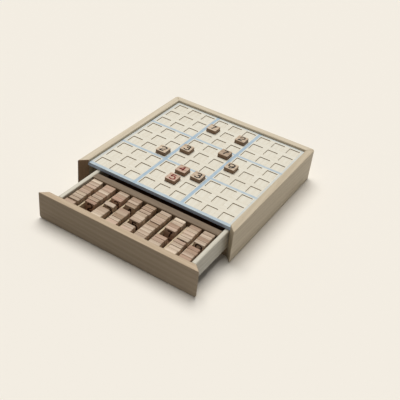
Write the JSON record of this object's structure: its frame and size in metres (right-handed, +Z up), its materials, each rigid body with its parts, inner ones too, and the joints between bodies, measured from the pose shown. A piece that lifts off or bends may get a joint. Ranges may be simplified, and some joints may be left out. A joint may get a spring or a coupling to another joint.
{
  "type": "wooden sudoku game",
  "caption": "Square wooden sudoku game: walled case with a board of square recesses, a sliding drawer with divided compartments, and loose number tiles.",
  "frame": {"origin": "middle of the base panel's underside, under the middle of the case", "axes": "+X to the right along the drawer front, +Y from the drawer front to the back wall, +Z up"},
  "size_m": [0.2806, 0.3689, 0.0603],
  "materials": {
    "wall_wood": "sanded, unfinished pale hardwood",
    "inner_wood": "plain unfinished wood",
    "board_ply": "pale plywood with painted light blue lines",
    "front_wood": "sanded hardwood",
    "drawer_wood": "sanded pale wood",
    "divider_ply": "thin pale plywood",
    "tile_wood": "sanded wood with a printed digit on one face"
  },
  "bodies": {
    "case": {"left_wall": "wall_wood", "right_wall": "wall_wood", "back_wall": "wall_wood", "base_panel": "inner_wood", "front_rail": "inner_wood", "left_runner": "inner_wood", "right_runner": "inner_wood", "board_backing": "board_ply", "cell_panel_1": "board_ply", "cell_panel_2": "board_ply", "cell_panel_3": "board_ply", "cell_panel_4": "board_ply", "cell_panel_5": "board_ply", "cell_panel_6": "board_ply", "cell_panel_7": "board_ply", "cell_panel_8": "board_ply", "cell_panel_9": "board_ply"},
    "drawer": {"drawer_front": "front_wood", "drawer_left_side": "drawer_wood", "drawer_right_side": "drawer_wood", "drawer_floor": "divider_ply", "drawer_partition": "drawer_wood", "drawer_back": "drawer_wood", "divider_1": "divider_ply", "divider_2": "divider_ply", "divider_3": "divider_ply", "divider_4": "divider_ply", "divider_5": "divider_ply", "divider_6": "divider_ply", "divider_7": "divider_ply", "divider_8": "divider_ply"},
    "board_tile_1": {"board_tile_1": "tile_wood"},
    "board_tile_2": {"board_tile_2": "tile_wood"},
    "board_tile_3": {"board_tile_3": "tile_wood"},
    "board_tile_4": {"board_tile_4": "tile_wood"},
    "board_tile_5": {"board_tile_5": "tile_wood"},
    "board_tile_6": {"board_tile_6": "tile_wood"},
    "board_tile_7": {"board_tile_7": "tile_wood"},
    "board_tile_8": {"board_tile_8": "tile_wood"},
    "board_tile_9": {"board_tile_9": "tile_wood"},
    "tile_row_1_back": {"tile_row_1_back": "tile_wood"},
    "tile_row_1_front": {"tile_row_1_front": "tile_wood"},
    "tile_row_2_back": {"tile_row_2_back": "tile_wood"},
    "tile_row_3_back": {"tile_row_3_back": "tile_wood"},
    "tile_row_3_leaning": {"tile_row_3_leaning": "tile_wood"},
    "tile_row_3_front": {"tile_row_3_front": "tile_wood"},
    "tile_row_4_back": {"tile_row_4_back": "tile_wood"},
    "tile_row_4_front": {"tile_row_4_front": "tile_wood"},
    "tile_row_5_back": {"tile_row_5_back": "tile_wood"},
    "tile_row_5_front": {"tile_row_5_front": "tile_wood"},
    "tile_row_6_back": {"tile_row_6_back": "tile_wood"},
    "tile_row_6_front": {"tile_row_6_front": "tile_wood"},
    "tile_row_7_back": {"tile_row_7_back": "tile_wood"},
    "tile_row_7_front": {"tile_row_7_front": "tile_wood"},
    "tile_row_8_back": {"tile_row_8_back": "tile_wood"},
    "tile_row_8_front": {"tile_row_8_front": "tile_wood"},
    "tile_row_9_back": {"tile_row_9_back": "tile_wood"},
    "tile_row_9_front": {"tile_row_9_front": "tile_wood"}
  },
  "joints": [
    {"name": "drawer_slide", "type": "slide", "parent": "case", "child": "drawer", "axis": [0, -1, 0], "range_m": [-0.089, 0.015]},
    {"name": "board_tile_1_lift", "type": "slide", "parent": "case", "child": "board_tile_1", "axis": [0, 0, 1], "range_m": [0, 0.03]},
    {"name": "board_tile_2_lift", "type": "slide", "parent": "case", "child": "board_tile_2", "axis": [0, 0, 1], "range_m": [0, 0.03]},
    {"name": "board_tile_3_lift", "type": "slide", "parent": "case", "child": "board_tile_3", "axis": [0, 0, 1], "range_m": [0, 0.03]},
    {"name": "board_tile_4_lift", "type": "slide", "parent": "case", "child": "board_tile_4", "axis": [0, 0, 1], "range_m": [0, 0.03]},
    {"name": "board_tile_5_lift", "type": "slide", "parent": "case", "child": "board_tile_5", "axis": [0, 0, 1], "range_m": [0, 0.03]},
    {"name": "board_tile_6_lift", "type": "slide", "parent": "case", "child": "board_tile_6", "axis": [0, 0, 1], "range_m": [0, 0.03]},
    {"name": "board_tile_7_lift", "type": "slide", "parent": "case", "child": "board_tile_7", "axis": [0, 0, 1], "range_m": [0, 0.03]},
    {"name": "board_tile_8_lift", "type": "slide", "parent": "case", "child": "board_tile_8", "axis": [0, 0, 1], "range_m": [0, 0.03]},
    {"name": "board_tile_9_lift", "type": "slide", "parent": "case", "child": "board_tile_9", "axis": [0, 0, 1], "range_m": [0, 0.03]},
    {"name": "tile_row_1_back_lift", "type": "slide", "parent": "drawer", "child": "tile_row_1_back", "axis": [0, 0, 1], "range_m": [0, 0.04]},
    {"name": "tile_row_1_front_lift", "type": "slide", "parent": "drawer", "child": "tile_row_1_front", "axis": [0, 0, 1], "range_m": [0, 0.04]},
    {"name": "tile_row_2_back_lift", "type": "slide", "parent": "drawer", "child": "tile_row_2_back", "axis": [0, 0, 1], "range_m": [0, 0.04]},
    {"name": "tile_row_3_back_lift", "type": "slide", "parent": "drawer", "child": "tile_row_3_back", "axis": [0, 0, 1], "range_m": [0, 0.04]},
    {"name": "tile_row_3_leaning_lift", "type": "slide", "parent": "drawer", "child": "tile_row_3_leaning", "axis": [0, 0, 1], "range_m": [0, 0.04]},
    {"name": "tile_row_3_front_lift", "type": "slide", "parent": "drawer", "child": "tile_row_3_front", "axis": [0, 0, 1], "range_m": [0, 0.04]},
    {"name": "tile_row_4_back_lift", "type": "slide", "parent": "drawer", "child": "tile_row_4_back", "axis": [0, 0, 1], "range_m": [0, 0.04]},
    {"name": "tile_row_4_front_lift", "type": "slide", "parent": "drawer", "child": "tile_row_4_front", "axis": [0, 0, 1], "range_m": [0, 0.04]},
    {"name": "tile_row_5_back_lift", "type": "slide", "parent": "drawer", "child": "tile_row_5_back", "axis": [0, 0, 1], "range_m": [0, 0.04]},
    {"name": "tile_row_5_front_lift", "type": "slide", "parent": "drawer", "child": "tile_row_5_front", "axis": [0, 0, 1], "range_m": [0, 0.04]},
    {"name": "tile_row_6_back_lift", "type": "slide", "parent": "drawer", "child": "tile_row_6_back", "axis": [0, 0, 1], "range_m": [0, 0.04]},
    {"name": "tile_row_6_front_lift", "type": "slide", "parent": "drawer", "child": "tile_row_6_front", "axis": [0, 0, 1], "range_m": [0, 0.04]},
    {"name": "tile_row_7_back_lift", "type": "slide", "parent": "drawer", "child": "tile_row_7_back", "axis": [0, 0, 1], "range_m": [0, 0.04]},
    {"name": "tile_row_7_front_lift", "type": "slide", "parent": "drawer", "child": "tile_row_7_front", "axis": [0, 0, 1], "range_m": [0, 0.04]},
    {"name": "tile_row_8_back_lift", "type": "slide", "parent": "drawer", "child": "tile_row_8_back", "axis": [0, 0, 1], "range_m": [0, 0.04]},
    {"name": "tile_row_8_front_lift", "type": "slide", "parent": "drawer", "child": "tile_row_8_front", "axis": [0, 0, 1], "range_m": [0, 0.04]},
    {"name": "tile_row_9_back_lift", "type": "slide", "parent": "drawer", "child": "tile_row_9_back", "axis": [0, 0, 1], "range_m": [0, 0.04]},
    {"name": "tile_row_9_front_lift", "type": "slide", "parent": "drawer", "child": "tile_row_9_front", "axis": [0, 0, 1], "range_m": [0, 0.04]}
  ]
}
